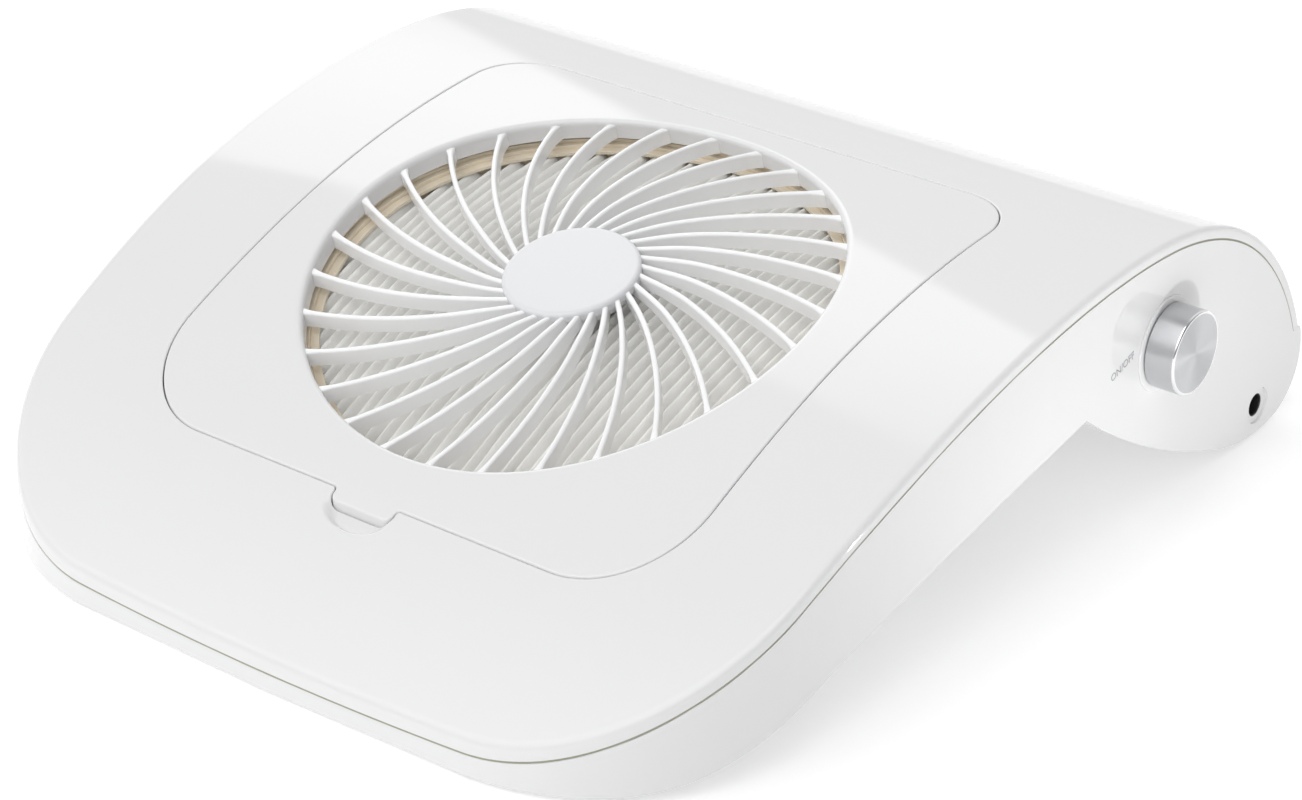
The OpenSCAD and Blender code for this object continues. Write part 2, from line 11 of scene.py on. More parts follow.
import bpy
import bmesh
import numpy as np
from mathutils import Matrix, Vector
from mathutils.geometry import delaunay_2d_cdt


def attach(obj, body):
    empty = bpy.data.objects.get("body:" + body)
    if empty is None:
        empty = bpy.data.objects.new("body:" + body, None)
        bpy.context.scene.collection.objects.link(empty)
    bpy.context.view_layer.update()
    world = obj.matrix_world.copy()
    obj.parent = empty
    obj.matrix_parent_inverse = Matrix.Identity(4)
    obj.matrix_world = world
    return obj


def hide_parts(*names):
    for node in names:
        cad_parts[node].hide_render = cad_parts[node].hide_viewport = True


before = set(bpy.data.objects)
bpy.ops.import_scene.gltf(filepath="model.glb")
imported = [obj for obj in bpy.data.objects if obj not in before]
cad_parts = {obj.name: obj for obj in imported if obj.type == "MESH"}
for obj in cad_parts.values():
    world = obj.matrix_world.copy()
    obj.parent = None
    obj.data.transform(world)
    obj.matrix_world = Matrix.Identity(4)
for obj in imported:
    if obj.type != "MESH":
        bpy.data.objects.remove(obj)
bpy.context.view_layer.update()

# ---------- sizes, in millimetres, as in the CAD source unless a line says otherwise ----------
OFFSET = np.array([-4.1, -19.5, 60.3])
NOSE = (-107.2, -52.9)
NOSE_HEADING = 36.24
TOP_LIST = [(347, 17.3), (250, 17.8), (169, 5.9), (86.4, 15.1),
            (69.9, 50.8), (14.85, 98.6), (47, 29.5), (214.5, 19.3)]
FRONT_Y = -105.1
BOW = (1288.5, 2.42)
CORNER = (53.3, 82.35)
FLANK = (929, 5.23)
TILT = math.radians(14.8)
OPENING = 62
RING_WALL = 1.8
RING_DEPTH = 5.1
VANE_COUNT = 30
VANE_HALF = 0.65
VANE_DEPTH = 4.4
VANE_ARC_RADIUS = 97.7
VANE_ARC_CENTRE = (19.86, -88.16)
CAP_RADIUS = 16
CAP_TOP = -1.2
CAP_HEIGHT = 2.4
CAP_STEM = 3
BOSS_RADIUS = 14.2
BOSS_TOP = CAP_TOP - CAP_HEIGHT - 0.05
BOSS_BOTTOM = -6.4
BOSS_BORE = 3.05
LID_HALF = 74.5
LID_FRONT = -69.5
LID_BACK = 71
LID_FRONT_ROUND = 24
LID_BACK_ROUND = 15
LID_THICKNESS = 2.2
# The seen gap round the lid, a little finer than the CAD's 0.35
LID_GAP = 0.27
TAB_HALF = 8.5
TAB_REACH = 3
LEDGE_TOP = 2.5
LEDGE_BOTTOM = 4.6
COVER = 2.8
WALL = 2.4
SEAM = 0.4
REAR_SEAM_Z = -38
END_X = 109.1
KNOB_Y = 77.2
KNOB_Z = -16.6
KNOB_RADIUS = 10.0
KNOB_LENGTH = 7.4
KNOB_FOOT = END_X + 0.8
SEAT_RADIUS = 11.4
SEAT_THICK = 0.5
JACK_Y = 124.6
JACK_Z = -52.3
LID_ARC = 272


# ---------- basic geometry ----------
def put(points):
    """Millimetres from the grille centre to metres in the frame."""
    return (np.asarray(points, float) + OFFSET) / 1000


def turn(angle):
    a = math.radians(angle)
    return np.array([math.cos(a), math.sin(a)])


def untilt(x, v, n):
    """A point of the tilted grille frame (across, along, height) in the body's axes."""
    c, s = math.cos(TILT), math.sin(TILT)
    return np.array([x, v * c - n * s, v * s + n * c])


def smooth(t):
    t = min(1.0, max(0.0, t))
    return t * t * (3 - 2 * t)


# ---------- the side profile ----------
class Top:
    """The outer profile from the nose over the top and round the roll, by arc length."""

    def __init__(self):
        self.arcs = []
        point, heading, s = np.array(NOSE, float), NOSE_HEADING, 0.0
        for radius, angle in TOP_LIST:
            centre = point - radius * turn(heading + 90)
            length = radius * math.radians(angle)
            self.arcs.append((centre, radius, heading + 90, heading + 90 - angle, s, s + length))
            heading -= angle
            s += length
            point = centre + radius * turn(heading + 90)
        self.end = s

    def at(self, s, depth=0.0):
        """(y, z) at arc length s, and the outward normal."""
        s = min(max(s, 0.0), self.end)
        for centre, radius, a0, a1, s0, s1 in self.arcs:
            if s <= s1 or s1 == self.end:
                n = turn(a0 - math.degrees((s - s0) / radius))
                return centre + (radius - depth) * n, n

    def over(self, y, depth=0.0):
        """(z, arc length) of the upper side at y."""
        for centre, radius, a0, a1, s0, s1 in self.arcs:
            r = radius - depth
            far = centre[0] + r * math.cos(math.radians(max(a1, 0.0)))
            if y <= far + 1e-9:
                cosine = min(1.0, max(-1.0, (y - centre[0]) / r))
                a = min(math.acos(cosine), math.radians(a0))
                return centre[1] + r * math.sin(a), s0 + radius * (math.radians(a0) - a)
        raise ValueError(y)

    def where(self, test, low, high):
        """Arc length between low and high where test turns from false to true."""
        for _ in range(60):
            mid = (low + high) / 2
            low, high = (low, mid) if test(mid) else (mid, high)
        return (low + high) / 2


top = Top()
crest_s = top.where(lambda s: top.at(s)[1][0] > 0, 0, top.end * 0.8)
crest_y = top.at(crest_s)[0][0]
widest_s = top.where(lambda s: top.at(s)[1][1] < 0, crest_s, top.end)
seam_s = top.where(lambda s: top.at(s)[0][1] < REAR_SEAM_Z, crest_s, widest_s + 60)


# ---------- the plan outline ----------
def plan_stations():
    """Half outline (x >= 0) as (x, y, normal x, normal y), from the front to the crest."""
    out = []

    def run(centre, radius, a0, a1, count):
        for k in range(count + 1):
            n = turn(a0 + (a1 - a0) * k / count)
            p = centre + radius * n
            if not out or math.hypot(p[0] - out[-1][0], p[1] - out[-1][1]) > 1e-6:
                out.append((p[0], p[1], n[0], n[1]))
        return p

    angle = -90.0
    point = run(np.array([0, FRONT_Y + BOW[0]]), BOW[0], angle, angle + BOW[1], 14)
    angle += BOW[1]
    point = run(point - CORNER[0] * turn(angle), CORNER[0], angle, angle + CORNER[1], 54)
    angle += CORNER[1]
    point = run(point - FLANK[0] * turn(angle), FLANK[0], angle, angle + FLANK[1], 44)
    y = point[1]
    steps = int((crest_y - y) / 2) + 1
    for k in range(1, steps + 1):
        out.append((END_X, y + (crest_y - y) * k / steps, 1.0, 0.0))
    return out


plan = plan_stations()


# ---------- mesh building ----------
WELDS_PER_MM = 2000


class Shape:
    """Faces over welded points, with a normal of its own at every corner."""

    def __init__(self):
        self.index = {}
        self.points = []
        self.faces = []
        self.normals = []
        self.marks = []
        self.mark = 0

    def vertex(self, p):
        """Index of the point; points within about half a micrometre are one."""
        key = tuple(int(round(c * WELDS_PER_MM)) for c in p)
        if key not in self.index:
            self.index[key] = len(self.points)
            self.points.append(tuple(float(c) for c in p))
        return self.index[key]

    def face(self, corners, normals):
        ids, kept = [], []
        for p, n in zip(corners, normals):
            i = self.vertex(p)
            if i not in ids:
                ids.append(i)
                kept.append(n)
        if len(ids) > 2:
            self.faces.append(ids)
            self.normals.append(kept)
            self.marks.append(self.mark)

    def flat(self, corners):
        """One flat face; its normal comes from its corners."""
        p = np.array(corners, float)
        n = np.zeros(3)
        for a, b in zip(p, np.roll(p, -1, 0)):
            n += np.cross(a - p[0], b - p[0])
        n = n / (np.linalg.norm(n) or 1)
        self.face(corners, [n] * len(corners))

    def grid(self, points, tangents, closed=False):
        """Quads over points[i][j]; tangents run along j, and the path runs along i."""
        p, t = np.array(points, float), np.array(tangents, float)
        if closed:
            along = np.roll(p, -1, 0) - np.roll(p, 1, 0)
        else:
            along = np.gradient(p, axis=0)
        n = np.cross(t, along)
        size = np.linalg.norm(n, axis=2, keepdims=True)
        n = n / np.where(size < 1e-12, 1, size)
        last = len(p) if closed else len(p) - 1
        for i in range(last):
            k = (i + 1) % len(p)
            for j in range(p.shape[1] - 1):
                quad = ((i, j), (k, j), (k, j + 1), (i, j + 1))
                self.face([p[a] for a in quad], [n[a] for a in quad])

    def sweep(self, sections, closed=False, fillet_steps=6):
        """Sections share one list of runs; a run of 2 points is straight, one of 3 is round."""
        for k in range(len(sections[0])):
            points, tangents = [], []
            for section in sections:
                run = [np.asarray(q, float) for q in section[k]]
                if len(run) == 2:
                    points.append([run[0], run[1]])
                    tangents.append([run[1] - run[0]] * 2)
                else:
                    ts = np.linspace(0, 1, fillet_steps + 1)
                    a, b, c = run
                    points.append([(1 - t) ** 2 * a + 2 * t * (1 - t) * b + t * t * c for t in ts])
                    tangents.append([(1 - t) * (b - a) + t * (c - b) for t in ts])
            self.grid(points, tangents, closed)

    def object(self, name, materials):
        mesh = bpy.data.meshes.new(name)
        mesh.from_pydata([tuple(p) for p in put(self.points)], [], self.faces)
        wanted = [n for face in self.normals for n in face]
        for polygon, mark in zip(mesh.polygons, self.marks):
            polygon.material_index = mark
            polygon.use_smooth = True
        # the attribute carries the normals through the turning of the faces
        carried = mesh.attributes.new("wanted", "FLOAT_VECTOR", "CORNER")
        carried.data.foreach_set("vector", np.array(wanted, np.float32).ravel())
        work = bmesh.new()
        work.from_mesh(mesh)
        bmesh.ops.recalc_face_normals(work, faces=work.faces)
        work.to_mesh(mesh)
        work.free()
        count = len(mesh.loops)
        corner_normal = np.zeros(count * 3, np.float32)
        mesh.attributes["wanted"].data.foreach_get("vector", corner_normal)
        corner_normal = corner_normal.reshape(-1, 3)
        face_normal = np.zeros((count, 3))
        for polygon in mesh.polygons:
            face_normal[list(polygon.loop_indices)] = polygon.normal
        corner_normal[(corner_normal * face_normal).sum(1) < 0] *= -1
        weak = np.linalg.norm(corner_normal, axis=1) < 0.5
        corner_normal[weak] = face_normal[weak]
        mesh.attributes.remove(mesh.attributes["wanted"])
        mesh.normals_split_custom_set([tuple(n) for n in corner_normal])
        mesh.update()
        thing = bpy.data.objects.new(name, mesh)
        bpy.context.scene.collection.objects.link(thing)
        for material in materials:
            mesh.materials.append(material)
        return thing


def inside(points, loop):
    """Even-odd test of many points against one closed loop."""
    x, y = points[:, 0][:, None], points[:, 1][:, None]
    a = np.asarray(loop, float)
    b = np.roll(a, -1, 0)
    crosses = (a[:, 1] > y) != (b[:, 1] > y)
    rise = np.where(b[:, 1] == a[:, 1], 1e-12, b[:, 1] - a[:, 1])
    where = a[:, 0] + (y - a[:, 1]) / rise * (b[:, 0] - a[:, 0])
    return (crosses & (x < where)).sum(1) % 2 == 1


def fill(outer, holes, rows, extra=(), margin=0.4):
    """Triangles over a flat region, each row of it kept as a line of edges."""
    loops = [np.asarray(l, float) for l in [outer, *holes]]
    points, edges = [], []
    for loop in loops:
        first = len(points)
        points += [tuple(p) for p in loop]
        edges += [(first + k, first + (k + 1) % len(loop)) for k in range(len(loop))]
    for height in rows:
        cuts = []
        for loop in loops:
            for a, b in zip(loop, np.roll(loop, -1, 0)):
                if (a[1] > height) != (b[1] > height):
                    cuts.append(a[0] + (height - a[1]) / (b[1] - a[1]) * (b[0] - a[0]))
        cuts.sort()
        for low, high in zip(cuts[::2], cuts[1::2]):
            if high - low > 3 * margin:
                edges.append((len(points), len(points) + 1))
                points += [(low + margin, height), (high - margin, height)]
    points += [tuple(p) for p in extra]
    verts, _, faces, _, _, _ = delaunay_2d_cdt([Vector(p) for p in points], edges, [], 0, 1e-7)
    verts = np.array([tuple(v) for v in verts])
    middle = np.array([verts[list(f)].mean(0) for f in faces])
    keep = inside(middle, loops[0])
    for hole in loops[1:]:
        keep &= ~inside(middle, hole)
    return verts, [f for f, k in zip(faces, keep) if k]


def add_fill(shape, verts, faces, place):
    """place turns a flat point into (point, normal)."""
    made = [place(v) for v in verts]
    for f in faces:
        shape.face([made[i][0] for i in f], [made[i][1] for i in f])


# ---------- points of the shells ----------
ROLL_STEPS = 74
STATIONS = [("plan", *p) for p in plan]
STATIONS += [("roll", crest_s + (seam_s - crest_s) * k / ROLL_STEPS) for k in range(1, ROLL_STEPS + 1)]


def skin_point(station, inset, depth):
    """A point under the skin, set in from the outline."""
    if station[0] == "plan":
        _, x, y, nx, ny = station
        y -= inset * ny
        return np.array([x - inset * nx, y, top.over(y, depth)[0]])
    p, _ = top.at(station[1], depth)
    return np.array([END_X - inset, p[0], p[1]])


def skin_s(station, inset, depth):
    """Arc length of the same point on the side profile."""
    if station[0] == "plan":
        return top.over(station[2] - inset * station[4], depth)[1]
    return station[1]


def both_sides(sections):
    """The x >= 0 sections and their mirror image, as one path from left to right."""
    flip = np.array([-1, 1, 1])
    left = [[tuple(np.asarray(q) * flip for q in run) for run in section] for section in sections[:0:-1]]
    return left + sections


def full_loop(half):
    """Half an outline (x >= 0) and its mirror image, as one closed loop."""
    return list(half) + [(-p[0], p[1]) for p in reversed(half) if abs(p[0]) > 1e-6]


def outline_of(section, fillet_steps=6):
    """The points of one section, its round runs set out as in sweep()."""
    out = []
    for run in section:
        if len(run) == 2:
            out += [run[0], run[1]]
        else:
            a, b, c = [np.asarray(q, float) for q in run]
            for t in np.linspace(0, 1, fillet_steps + 1):
                out.append((1 - t) ** 2 * a + 2 * t * (1 - t) * b + t * t * c)
    return out


def end_face(shape, section):
    """The flat face that ends a shell at the rear seam, across the whole width."""
    flip = np.array([-1, 1, 1])
    right = outline_of(section)
    shape.flat(right + [np.asarray(q) * flip for q in reversed(right)])


def skin_rows():
    """Arc lengths of the lines across the skin, closer together round the roll."""
    rows = list(np.arange(1.0, crest_s, 2.0))
    return rows + list(np.arange(crest_s, seam_s - 0.3, 1.0))


# ---------- the finger scoop ----------
SCOOP_HALF = 9.6
SCOOP_REACH = 5.2
SCOOP_DEPTH = 1.9
SCOOP_BASE = LID_FRONT - TAB_REACH - 0.1
# The scoop ends under the lid's tab, this far behind its base line
SCOOP_TAIL = 2.2
# Share of its reach over which the scoop's edge slopes down
SCOOP_SLOPE = 0.42


def scoop(x, y):
    """How deep the scoop is at (x, y)."""
    along = max(0.0, (SCOOP_BASE - y) / SCOOP_REACH)
    out = math.sqrt((x / SCOOP_HALF) ** 2 + along ** 2)
    if y > SCOOP_BASE + SCOOP_TAIL:
        return 0.0
    return SCOOP_DEPTH * smooth((1 - out) / SCOOP_SLOPE)


def scoop_normal(x, y, flat_normal):
    """Normal of the skin with the scoop in it, from the scoop's slope."""
    step = 0.02
    if scoop(x, y) <= 0:
        return flat_normal
    slope = -flat_normal[1] / flat_normal[2]
    dx = -(scoop(x + step, y) - scoop(x - step, y)) / (2 * step)
    dy = slope - (scoop(x, y + step) - scoop(x, y - step)) / (2 * step)
    n = np.array([-dx, -dy, 1])
    return n / np.linalg.norm(n)


def drop(xy, depth, scooped=False):
    """The point at that depth straight under (x, y) of the top."""
    z = top.over(xy[1], depth)[0]
    if scooped:
        z -= scoop(*xy)
    return np.array([xy[0], xy[1], z])


def line(a, b, step):
    """Points from a towards b, without b itself."""
    count = max(1, int(math.hypot(b[0] - a[0], b[1] - a[1]) / step))
    return [(a[0] + (b[0] - a[0]) * k / count, a[1] + (b[1] - a[1]) * k / count) for k in range(count)]


def bend(cx, cy, radius, a0, a1, count):
    """Points round a corner, without the last."""
    radius = max(radius, 0.02)
    return [tuple(np.array([cx, cy]) + radius * turn(a0 + (a1 - a0) * k / count)) for k in range(count)]


def lid_half(grow, tab=True, back=None):
    """Half the lid's plan outline, from the middle of its front to the middle of its back."""
    w, f = LID_HALF + grow, LID_FRONT - grow
    b = LID_BACK + (grow if back is None else back)
    rf, rb = LID_FRONT_ROUND + grow, max(1.0, LID_BACK_ROUND + grow)
    t, rt, rc = TAB_HALF + grow, 1.7 + grow, 1.1 - grow
    tip = f - TAB_REACH
    out = line((0, tip), (t - rt, tip), 0.8)
    out += bend(t - rt, tip + rt, rt, -90, 0, 6)
    out += line((t, tip + rt), (t, f - rc), 0.4)
    out += bend(t + rc, f - rc, rc, 180, 90, 6)
    if not tab:
        shift = np.linspace(0, t + 1.1, len(out) + 1)[:-1]
        out = [(x, f) for x in shift]
        out += line((t + 1.1, f), (w - rf, f), 6)
    else:
        out += line((t + rc, f), (w - rf, f), 6)
    out += bend(w - rf, f + rf, rf, -90, 0, 26)
    out += line((w, f + rf), (w, b - rb), 2)
    out += bend(w - rb, b - rb, rb, 0, 90, 20)
    out += line((w - rb, b), (0, b), 6)
    return out + [(0, b)]


def matched(half_a, half_b):
    """half_b resampled so that it has as many points as half_a, in step with it."""
    a, b = np.array(half_a), np.array(half_b)

    def share(p):
        d = np.concatenate([[0], np.cumsum(np.hypot(*np.diff(p, axis=0).T))])
        return d / d[-1]

    return [(np.interp(t, share(b), b[:, 0]), np.interp(t, share(b), b[:, 1])) for t in share(a)]


# ---------- top cover ----------
EDGE_ROUND = 1.6
INNER_ROUND = 0.25
LID_EDGE = 0.4


def top_skin(shape, outer, holes, extra=()):
    """The outer skin over outlines in (x, arc length), with the scoop sunk into it."""
    verts, faces = fill(outer, holes, skin_rows(), extra)

    def place(v):
        p, n = top.at(v[1])
        normal = np.array([0, n[0], n[1]])
        sunk = scoop(v[0], p[0])
        if sunk:
            normal = scoop_normal(v[0], p[0], normal)
        return np.array([v[0], p[0], p[1] - sunk]), normal

    add_fill(shape, verts, faces, place)


def under_skin(shape, outer, holes, depth):
    """The inner skin, that deep under the outer one."""
    verts, faces = fill(outer, holes, skin_rows()[::2])

    def place(v):
        p, n = top.at(v[1], depth)
        return np.array([v[0], *p]), np.array([0, -n[0], -n[1]])

    add_fill(shape, verts, faces, place)


def build_cover(materials):
    """The top cover: edge, lid opening with its ledge, outer skin and inner skin."""
    shape = Shape()
    sections = []
    for st in STATIONS:
        wall = lambda d, st=st: skin_point(st, 0, d)
        sections.append([
            (skin_point(st, EDGE_ROUND, 0), wall(0), wall(EDGE_ROUND)),
            (wall(EDGE_ROUND), wall(COVER - INNER_ROUND)),
            (wall(COVER - INNER_ROUND), wall(COVER), skin_point(st, INNER_ROUND, COVER)),
            (skin_point(st, INNER_ROUND, COVER), skin_point(st, WALL, COVER)),
        ])
    shape.sweep(both_sides(sections))
    end_face(shape, sections[-1])

    lip_out = lid_half(LID_GAP + LID_EDGE)
    lip = matched(lip_out, lid_half(LID_GAP))
    inner = matched(lip_out, lid_half(-3, tab=False, back=-0.3))
    outer = matched(lip_out, lid_half(4, tab=False))
    hole = []
    for a, b, c, d in zip(lip_out, lip, inner, outer):
        hole.append([
            (drop(a, 0, True), drop(b, 0, True), drop(b, LID_EDGE, True)),
            (drop(b, LID_EDGE, True), drop(b, LEDGE_TOP)),
            (drop(b, LEDGE_TOP), drop(c, LEDGE_TOP)),
            (drop(c, LEDGE_TOP), drop(c, LEDGE_BOTTOM)),
            (drop(c, LEDGE_BOTTOM), drop(d, LEDGE_BOTTOM)),
            (drop(d, LEDGE_BOTTOM), drop(d, COVER)),
        ])
    shape.sweep(hole_path(hole), closed=True)

    rim = full_loop([(skin_point(st, EDGE_ROUND, 0)[0], skin_s(st, EDGE_ROUND, 0)) for st in STATIONS])
    lid = full_loop([(x, top.over(y)[1]) for x, y in lip_out])
    first = top.over(SCOOP_BASE - SCOOP_REACH - 0.6)[1]
    last = top.over(LID_FRONT - TAB_REACH - 1.0)[1]
    levels = list(np.arange(first, last, 0.3))
    levels = [v for v in levels if min(abs(v - row) for row in skin_rows()) > 0.12]
    levels += [row for row in skin_rows() if first - 2 < row < last + 2]
    across = np.arange(-10.4, 10.41, 0.4)
    extra = [(x, level) for level in levels for x in across]
    top_skin(shape, rim, [lid], extra)

    rim = full_loop([(skin_point(st, WALL, COVER)[0], skin_s(st, WALL, COVER)) for st in STATIONS])
    ledge = full_loop([(x, top.over(y, COVER)[1]) for x, y in outer])
    under_skin(shape, rim, [ledge], COVER)
    return shape.object("cover_shell", materials)


def hole_path(half):
    """Half a closed path of sections and its mirror image, without doubled ends."""
    flip = np.array([-1, 1, 1])
    left = [[tuple(np.asarray(q) * flip for q in run) for run in section] for section in half[-2:0:-1]]
    return half + left


# ---------- lid ----------
LIP_ROUND = 1.7


def on_tilt(x, v, depth):
    """Height along the grille axis at (x, v), that deep under the top."""
    n = 0.0
    c, s = math.cos(TILT), math.sin(TILT)
    for _ in range(14):
        z = top.over(v * c - n * s, depth)[0]
        n = (z - v * s) / c
    return n


def build_lid(materials):
    """The lid: its edge, the ring round the grille, and its two skins."""
    shape = Shape()
    lip = lid_half(-LID_EDGE)
    edge = matched(lip, lid_half(0))
    sections = []
    for a, b in zip(lip, edge):
        sections.append([
            (drop(a, 0), drop(b, 0), drop(b, LID_EDGE)),
            (drop(b, LID_EDGE), drop(b, LID_THICKNESS)),
        ])
    shape.sweep(hole_path(sections), closed=True)

    ring, ring_low = [], []
    sections = []
    for k in range(180):
        cx, cv = turn(2 * k)
        r0, r1, r2 = OPENING + LIP_ROUND, OPENING, OPENING + RING_WALL
        a = untilt(r0 * cx, r0 * cv, on_tilt(r0 * cx, r0 * cv, 0))
        n0 = on_tilt(r1 * cx, r1 * cv, 0)
        n1 = on_tilt(r1 * cx, r1 * cv, RING_DEPTH)
        n2 = on_tilt(r2 * cx, r2 * cv, RING_DEPTH)
        n3 = on_tilt(r2 * cx, r2 * cv, LID_THICKNESS)
        wall = lambda n: untilt(r1 * cx, r1 * cv, n)
        back = lambda n: untilt(r2 * cx, r2 * cv, n)
        sections.append([
            (a, wall(n0), wall(n0 - LIP_ROUND)),
            (wall(n0 - LIP_ROUND), wall(n1 + 0.3)),
            (wall(n1 + 0.3), wall(n1), untilt((r1 + 0.3) * cx, (r1 + 0.3) * cv, n1)),
            (untilt((r1 + 0.3) * cx, (r1 + 0.3) * cv, n1), back(n2)),
            (back(n2), back(n3)),
        ])
        ring.append((a[0], top.over(a[1])[1]))
        ring_low.append((back(n3)[0], top.over(back(n3)[1], LID_THICKNESS)[1]))
    shape.sweep(sections, closed=True)

    outer = full_loop([(x, top.over(y)[1]) for x, y in lip])
    low, high = min(p[1] for p in outer), max(p[1] for p in outer)
    rows = [r for r in skin_rows() if low < r < high]
    verts, faces = fill(outer, [ring], rows)
    add_fill(shape, verts, faces, lambda v: (np.array([v[0], *top.at(v[1])[0]]),
                                             np.array([0, *top.at(v[1])[1]])))
    outer = full_loop([(x, top.over(y, LID_THICKNESS)[1]) for x, y in edge])
    verts, faces = fill(outer, [ring_low], rows)
    add_fill(shape, verts, faces, lambda v: (np.array([v[0], *top.at(v[1], LID_THICKNESS)[0]]),
                                             -np.array([0, *top.at(v[1])[1]])))
    return shape.object("lid_shell", materials)


HOOK_X = 45
HOOK_HALF = 7


def build_hooks(materials):
    """The two tongues under the lid's back edge that slip under the cover."""
    shape = Shape()
    outline = [(65.6, 2.1), (70.7, 2.1), (70.7, 3.2), (75.3, 3.2), (75.3, 4.5), (65.6, 4.5)]
    for centre in (-HOOK_X, HOOK_X):
        ends = []
        for x in (centre - HOOK_HALF, centre + HOOK_HALF):
            ends.append([drop((x, y), d) for y, d in outline])
        shape.flat(ends[0])
        shape.flat(ends[1][::-1])
        for k in range(len(outline)):
            j = (k + 1) % len(outline)
            shape.flat([ends[0][k], ends[0][j], ends[1][j], ends[1][k]])
    return shape.object("lid_hooks", materials)


VANE_TOP = 1.1
VANE_START = 12.2
VANE_END = 62.6
VANE_STEPS = 30
# The vanes thicken by this much on each side where they run into the ring
VANE_ROOT = 0.55


def build_vanes(materials):
    """Curved vanes from the hub to the ring, sunk a little towards the cap."""
    shape = Shape()
    cx, cv = VANE_ARC_CENTRE
    base = []
    for k in range(VANE_STEPS + 1):
        x = VANE_START + (VANE_END - VANE_START) * k / VANE_STEPS
        angle = math.acos((x - cx) / VANE_ARC_RADIUS)
        base.append((x, cv + VANE_ARC_RADIUS * math.sin(angle), math.cos(angle), math.sin(angle)))
    base = [b for b in base if math.hypot(b[0], b[1]) < OPENING + 0.9]
    for k in range(VANE_COUNT):
        c, s = turn(k * 360 / VANE_COUNT)
        sections = []
        for x, v, ex, ev in base:
            rho = math.hypot(x, v)
            half = VANE_HALF + VANE_ROOT * smooth((rho - OPENING + 2.4) / 2.4) ** 2
            px, pv = x * c - v * s, x * s + v * c
            dx, dv = ex * c - ev * s, ex * s + ev * c
            skin = on_tilt(px, pv, VANE_TOP)
            near = 1 - smooth((rho - CAP_RADIUS - 0.5) / 14)
            high = skin * (1 - near) + min(skin, CAP_TOP - 0.9) * near
            low = min(on_tilt(px, pv, VANE_TOP + VANE_DEPTH - 0.5), high - 3.2)
            round_top = min(VANE_HALF, half)
            at = lambda side, n: untilt(px + side * half * dx, pv + side * half * dv, n)
            sections.append([
                (at(-1, low), at(-1, high - round_top)),
                (at(-1, high - round_top), at(-1, high), at(0, high)),
                (at(0, high), at(1, high), at(1, high - round_top)),
                (at(1, high - round_top), at(1, low)),
                (at(1, low), at(-1, low)),
            ])
        shape.sweep(sections, fillet_steps=4)
        shape.flat(outline_of(sections[0], 4))
        shape.flat(outline_of(sections[-1], 4)[::-1])
    return shape.object("swirl_vanes", materials)


def lathe(shape, profile, place, steps=128, fillet_steps=6):
    """Runs of (radius, height) turned about an axis; place(x, v, height) sets them out."""
    sections = []
    for k in range(steps):
        c, s = turn(360 * k / steps)
        sections.append([tuple(place(r * c, r * s, h) for r, h in run) for run in profile])
    shape.sweep(sections, closed=True, fillet_steps=fillet_steps)


def build_cap(materials):
    """The slightly crowned cap and the stem that holds it in the hub."""
    shape = Shape()
    r, t, low = CAP_RADIUS, CAP_TOP, CAP_TOP - CAP_HEIGHT
    lathe(shape, [
        ((0.01, t), (8, t), (r - 1.15, t - 0.06)),
        ((r - 1.15, t - 0.06), (r, t - 0.06), (r, t - 1.2)),
        ((r, t - 1.2), (r, low)),
        ((r, low), (CAP_STEM, low)),
        ((CAP_STEM, low), (CAP_STEM, BOSS_BOTTOM + 0.5)),
        ((CAP_STEM, BOSS_BOTTOM + 0.5), (0.01, BOSS_BOTTOM + 0.5)),
    ], untilt)
    return shape.object("hub_cap", materials)


def build_boss(materials):
    """The hub under the cap, hollowed from below, that the vanes run into."""
    shape = Shape()
    r, bore, high, low = BOSS_RADIUS, BOSS_BORE, BOSS_TOP, BOSS_BOTTOM
    recess, recess_top = r - 2, low + 1.2
    lathe(shape, [
        ((bore, high), (r, high)),
        ((r, high), (r, low + 0.3)),
        ((r, low + 0.3), (r, low), (r - 0.3, low)),
        ((r - 0.3, low), (recess, low)),
        ((recess, low), (recess, recess_top)),
        ((recess, recess_top), (bore, recess_top)),
        ((bore, recess_top), (bore, high)),
    ], untilt, 96)
    return shape.object("hub_boss", materials)


# ---------- filter ----------
def drum(v, depth):
    """Height of the filter's curved top, along the grille axis."""
    return -LID_ARC + math.sqrt((LID_ARC - depth) ** 2 - v * v)


RING_OUTER = 65.0
RING_INNER = 59.6
RING_BOTTOM = -20.15
# Layers of the card ring: outer radius, inner radius and depth of the top
CARD_LAYERS = [(RING_OUTER, 63.4, 5.95), (63.35, 61.7, 6.75), (61.65, RING_INNER, 7.6)]


def build_filter_ring(materials):
    """A ring of laminated card: three layers, each a little further in and lower."""
    shape = Shape()
    foot = CARD_LAYERS[-1][0]
    sections = []
    for k in range(240):
        c, s = turn(1.5 * k)
        wobble = 0.05 * math.sin(k * 0.37) + 0.04 * math.sin(k * 0.91 + 1.3)
        at = lambda r, depth: untilt(r * c, r * s, drum(r * s, depth + wobble))
        low = lambda r: untilt(r * c, r * s, RING_BOTTOM)
        runs = [(low(RING_OUTER), at(RING_OUTER, 6.1))]
        for outer, inner, depth in CARD_LAYERS:
            runs.append((at(outer, depth + 0.15), at(outer, depth), at(outer - 0.15, depth)))
            runs.append((at(outer - 0.15, depth), at(inner + 0.15, depth)))
            runs.append((at(inner + 0.15, depth), at(inner, depth), at(inner, depth + 0.15)))
            if inner > RING_INNER:
                runs.append((at(inner, depth + 0.15), at(inner - 0.05, depth + 0.95)))
        runs.append((at(RING_INNER, 7.75), at(RING_INNER, 8.45)))
        runs.append((at(RING_INNER, 8.45), at(foot, 8.5)))
        runs.append((at(foot, 8.5), low(foot)))
        runs.append((low(foot), low(RING_OUTER)))
        sections.append(runs)
    shape.sweep(sections, closed=True, fillet_steps=3)
    return shape.object("filter_card_ring", materials)


